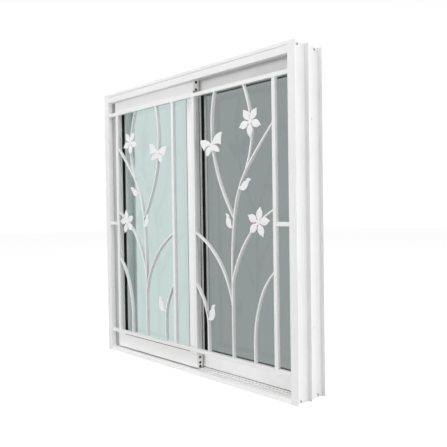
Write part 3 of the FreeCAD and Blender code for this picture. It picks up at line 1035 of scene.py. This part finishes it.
@dataclass
class WeldBeads:
    """Fillets of overlapping weld ripples where one bar of the grille meets another."""

    finishes: Finishes
    radius_mm: float = 1.3
    ripple_mm: float = 1.3
    reach_mm: float = 0.15
    shortest_mm: float = 1.5
    smallest_bend: float = math.radians(20)
    size_range: tuple[float, float] = (0.75, 1.05)
    seed: int = 5

    def joint_edges(self, node: str, others: Sequence[BVHTree]) -> list[tuple[Vector, Vector]]:
        """Find the edges of a piece that lie on another piece.

        Args:
            node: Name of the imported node.
            others: Search trees of the pieces that it may touch.

        Returns:
            Both ends of each such edge, in metres.
        """
        shape = bmesh.new()
        shape.from_mesh(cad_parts[node].data)
        bmesh.ops.remove_doubles(shape, verts=shape.verts, dist=MERGE_MM * MM)
        edges = []
        for edge in shape.edges:
            if len(edge.link_faces) != 2 or edge.calc_face_angle() < self.smallest_bend:
                continue
            if edge.calc_length() < self.shortest_mm * MM:
                continue
            ends = [vertex.co.copy() for vertex in edge.verts]
            if any(all(tree.find_nearest(end, self.reach_mm * MM)[0] for end in ends) for tree in others):
                edges.append((ends[0], ends[1]))
        shape.free()
        return edges

    def build(self, joined: Sequence[str], carriers: Sequence[str]) -> None:
        """Weld the joined pieces to the pieces that carry them.

        Args:
            joined: Nodes whose ends are welded.
            carriers: Nodes that they are welded to.
        """
        trees = {}
        for node in carriers:
            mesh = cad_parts[node].data
            trees[node] = BVHTree.FromPolygons([vertex.co for vertex in mesh.vertices],
                                               [polygon.vertices for polygon in mesh.polygons])
        points, lines = [], []
        for node in joined:
            for start, end in self.joint_edges(node, [trees[name] for name in carriers if name != node]):
                lines.append((len(points), len(points) + 1))
                points += [start, end]
        seam = bpy.data.meshes.new("weld_seams")
        seam.from_pydata(points, lines, [])
        material = self.finishes.get(GRILLE_COAT)
        tree, inputs = new_recipe("weld ripples", {
            "Radius": ("NodeSocketFloat", self.radius_mm * MM),
            "Ripple": ("NodeSocketFloat", self.ripple_mm * MM), "Seed": ("NodeSocketInt", self.seed)})
        curve = add_node(tree, "GeometryNodeMeshToCurve", inputs={"Mesh": inputs.outputs["Geometry"]})
        steps = add_node(tree, "GeometryNodeCurveToPoints", {"mode": "LENGTH"}, {
            "Curve": curve.outputs["Curve"], "Length": inputs.outputs["Ripple"]})
        blob = add_node(tree, "GeometryNodeMeshIcoSphere", inputs={
            "Radius": inputs.outputs["Radius"], "Subdivisions": 2})
        size = add_node(tree, "FunctionNodeRandomValue", {"data_type": "FLOAT"}, {
            "Min": self.size_range[0], "Max": self.size_range[1], "Seed": inputs.outputs["Seed"]})
        ripples = add_node(tree, "GeometryNodeInstanceOnPoints", inputs={
            "Points": steps.outputs["Points"], "Instance": blob.outputs["Mesh"], "Scale": size.outputs[1]})
        real = add_node(tree, "GeometryNodeRealizeInstances", inputs={
            "Geometry": ripples.outputs["Instances"]})
        shaded = add_node(tree, "GeometryNodeSetShadeSmooth", inputs={"Geometry": real.outputs["Geometry"]})
        close_recipe(tree, shaded.outputs["Geometry"], material)
        piece = grow("grille_weld_beads", tree, {
            "Radius": self.radius_mm * MM, "Ripple": self.ripple_mm * MM, "Seed": self.seed}, seam)
        seat_piece(piece, material)


@dataclass
class Grille:
    """Square bars, bent flat-bar stems and cut plates of the security grille."""

    finishes: Finishes
    level_bars: tuple[str, ...] = ("grille_top_bar", "grille_bottom_bar")
    upright_bars: tuple[str, ...] = ("grille_left_outer_bar", "grille_left_inner_bar",
                                     "grille_right_outer_bar", "grille_right_inner_bar")
    ties: str = "grille_side_ties"
    stems: tuple[str, ...] = ("main_stem", "butterfly_stem", "top_flower_stem", "middle_flower_stem",
                              "upper_inner_stem", "lower_inner_stem", "lower_outer_stem")
    plates: tuple[str, ...] = ("flowers", "butterfly", "leaves")
    bar_ease_mm: float = 0.9
    stem_ease_mm: float = 0.7
    plate_ease_mm: float = 0.3
    plate_shortest_mm: float = 0.4
    # Steps inwards and forwards of the pressed crown. The butterflies' outline is too fine for it.
    crown_mm: tuple[tuple[float, float], ...] = ((0.6, 0.3), (0.7, 0.25), (0.8, 0.15))
    crowned: tuple[str, ...] = ("flowers", "leaves")

    def build(self) -> None:
        """Ease and coat the bars, the stems and the plates of both panels."""
        coat, plate_coat = self.finishes.get(GRILLE_COAT), self.finishes.get(PLATE_COAT)
        bars = [*self.level_bars, *self.upright_bars, self.ties]
        for bar in bars:
            seat_piece(eased_copy(bar, self.bar_ease_mm), coat, [bar])
        for side in ("left", "right"):
            for stem in self.stems:
                node = f"{side}_{stem}"
                seat_piece(eased_copy(node, self.stem_ease_mm), coat, [node])
            for plate in self.plates:
                node = f"{side}_{plate}"
                crown = self.crown_mm if plate in self.crowned else ()
                piece = eased_copy(node, self.plate_ease_mm, self.plate_shortest_mm, crown_mm=crown)
                seat_piece(piece, plate_coat, [node])
        stems = [f"{side}_{stem}" for side in ("left", "right") for stem in self.stems]
        WeldBeads(self.finishes).build([*stems, self.ties, *self.upright_bars], [*stems, *bars])


@dataclass
class PhotoView:
    """Camera that sees the window as the photo does."""

    place_mm: tuple[float, float, float] = (1476.4, -1294.3, 558.9)
    yaw_deg: float = 46.08
    pitch_deg: float = -1.09
    roll_deg: float = -0.82
    focal_px: float = 547.5
    sensor_mm: float = 36.0
    clip_m: tuple[float, float] = (0.05, 100.0)

    def build(self) -> None:
        """Make the camera and give it to the scene."""
        yaw, pitch, roll = (math.radians(a) for a in (self.yaw_deg, self.pitch_deg, self.roll_deg))
        forward = Vector((-math.sin(yaw) * math.cos(pitch), math.cos(yaw) * math.cos(pitch),
                          math.sin(pitch)))
        level = Vector((math.cos(yaw), math.sin(yaw), 0))
        upright = level.cross(forward)
        right = level * math.cos(roll) + upright * math.sin(roll)
        up = upright * math.cos(roll) - level * math.sin(roll)
        data = bpy.data.cameras.new("photo_view")
        data.sensor_width = self.sensor_mm
        data.lens = self.focal_px / IMAGE_SIZE * self.sensor_mm
        data.clip_start, data.clip_end = self.clip_m
        camera = bpy.data.objects.new("photo_view", data)
        bpy.context.scene.collection.objects.link(camera)
        turn = Matrix((right, up, -forward)).transposed()
        place = [value * MM for value in self.place_mm]
        camera.matrix_world = Matrix.Translation(place) @ turn.to_4x4()
        bpy.context.scene.camera = camera


@dataclass(frozen=True)
class SoftBox:
    """One large soft lamp: where it stands, what it points at, its size and its power in watts.

    No surface mirrors a lamp and no pane shows one, as the photo shows none.
    """

    name: str
    place: tuple[float, float, float]
    target: tuple[float, float, float]
    size: float
    power: float

    def build(self) -> None:
        """Put the lamp in the scene."""
        data = bpy.data.lights.new(self.name, "AREA")
        data.shape = "SQUARE"
        data.size = self.size
        data.energy = self.power
        lamp = bpy.data.objects.new(self.name, data)
        bpy.context.scene.collection.objects.link(lamp)
        lamp.location = self.place
        aim = Vector(self.target) - Vector(self.place)
        lamp.rotation_euler = aim.to_track_quat("-Z", "Y").to_euler()
        lamp.visible_glossy = False
        lamp.visible_transmission = False


@dataclass
class Studio:
    """Pale floor, white surround and soft lamps."""

    floor_size: float = 30.0
    floor_colour: str = "#cfcfcf"
    ambient: float = 0.5
    floor_glow: float = 0.66
    lamps: tuple[SoftBox, ...] = (
        SoftBox("key lamp", (-1.7, -6.0, 0.75), (0.0, 0.0, 0.5), 1.6, 106.0),
        SoftBox("overhead lamp", (0.3, -1.2, 3.6), (0.0, -0.05, 0.0), 1.6, 56.0),
        SoftBox("side lamp", (4.5, -0.85, 0.8), (0.0, 0.0, 0.5), 1.2, 44.0),
        SoftBox("web lamp", (3.4, 1.6, 0.9), (0.5, 0.0, 0.5), 1.6, 26.0),
        SoftBox("rear lamp", (2.0, 4.2, 0.9), (0.0, 0.0, 0.5), 1.6, 92.0))

    def build(self) -> None:
        """Make the floor, the world and the lamps, and set how colours are shown."""
        bpy.context.scene.view_settings.view_transform = "Standard"
        self.build_floor()
        self.build_world()
        for lamp in self.lamps:
            lamp.build()

    def ray_kind(self, tree: bpy.types.NodeTree, *kinds: str) -> bpy.types.NodeSocket:
        """Tell some kinds of rays from all others.

        Args:
            tree: Tree of the floor or the world.
            kinds: Outputs of the Light Path node.

        Returns:
            A factor of 1 for these rays and of 0 for the rest.
        """
        rays = add_node(tree, "ShaderNodeLightPath")
        factor = rays.outputs[kinds[0]]
        for kind in kinds[1:]:
            larger = add_node(tree, "ShaderNodeMath", {"operation": "MAXIMUM"},
                              {0: factor, 1: rays.outputs[kind]})
            factor = larger.outputs["Value"]
        return factor

    def build_floor(self) -> None:
        """Lay the floor: white with the window's shadow to the camera, plain white in glass and gloss."""
        half = self.floor_size / 2
        mesh = bpy.data.meshes.new("floor")
        floor_corners = [(-half, -half, 0), (half, -half, 0), (half, half, 0), (-half, half, 0)]
        mesh.from_pydata(floor_corners, [], [(0, 1, 2, 3)])
        floor = link_mesh("floor", mesh)
        material, output = new_material("matt studio floor")
        tree = material.node_tree
        diffuse = add_node(tree, "ShaderNodeBsdfDiffuse", inputs={"Color": linear(self.floor_colour)})
        glow = add_node(tree, "ShaderNodeMath", {"operation": "MULTIPLY"},
                        {0: self.ray_kind(tree, "Is Camera Ray"), 1: self.floor_glow})
        emission = add_node(tree, "ShaderNodeEmission", inputs={"Strength": glow.outputs["Value"]})
        lit = add_node(tree, "ShaderNodeAddShader", inputs={
            0: diffuse.outputs["BSDF"], 1: emission.outputs["Emission"]})
        white = add_node(tree, "ShaderNodeEmission", inputs={"Strength": 1.0})
        both = add_node(tree, "ShaderNodeMixShader", inputs={
            0: self.ray_kind(tree, "Is Glossy Ray", "Is Transmission Ray"), 1: lit.outputs["Shader"],
            2: white.outputs["Emission"]})
        tree.links.new(both.outputs["Shader"], output.inputs["Surface"])
        mesh.materials.append(material)

    def build_world(self) -> None:
        """Light the scene evenly, and show white to the camera, to gloss and through glass."""
        world = bpy.data.worlds.new("studio")
        bpy.context.scene.world = world
        world.use_nodes = True
        tree = world.node_tree
        tree.nodes.clear()
        ambient = add_node(tree, "ShaderNodeBackground", inputs={
            "Color": linear("#ffffff"), "Strength": self.ambient})
        white = add_node(tree, "ShaderNodeBackground", inputs={"Color": linear("#ffffff"), "Strength": 1.0})
        mix = add_node(tree, "ShaderNodeMixShader", inputs={
            0: self.ray_kind(tree, "Is Camera Ray", "Is Glossy Ray", "Is Transmission Ray"),
            1: ambient.outputs["Background"], 2: white.outputs["Background"]})
        add_node(tree, "ShaderNodeOutputWorld", inputs={"Surface": mix.outputs["Shader"]})


def main() -> None:
    """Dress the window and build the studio."""
    logging.basicConfig(level=logging.INFO, format="%(name)s: %(message)s")
    finishes = Finishes()
    PhotoView().build()
    Studio().build()
    OuterFrame(finishes).build()
    SlidingSash(finishes, "front_sash", CLEAR_PANE, Slot.CLEAR_GLASS).build()
    SlidingSash(finishes, "rear_sash", GREY_PANE, Slot.GREY_GLASS, capped_side=-1).build()
    Grille(finishes).build()


if __name__ == "__main__":
    main()
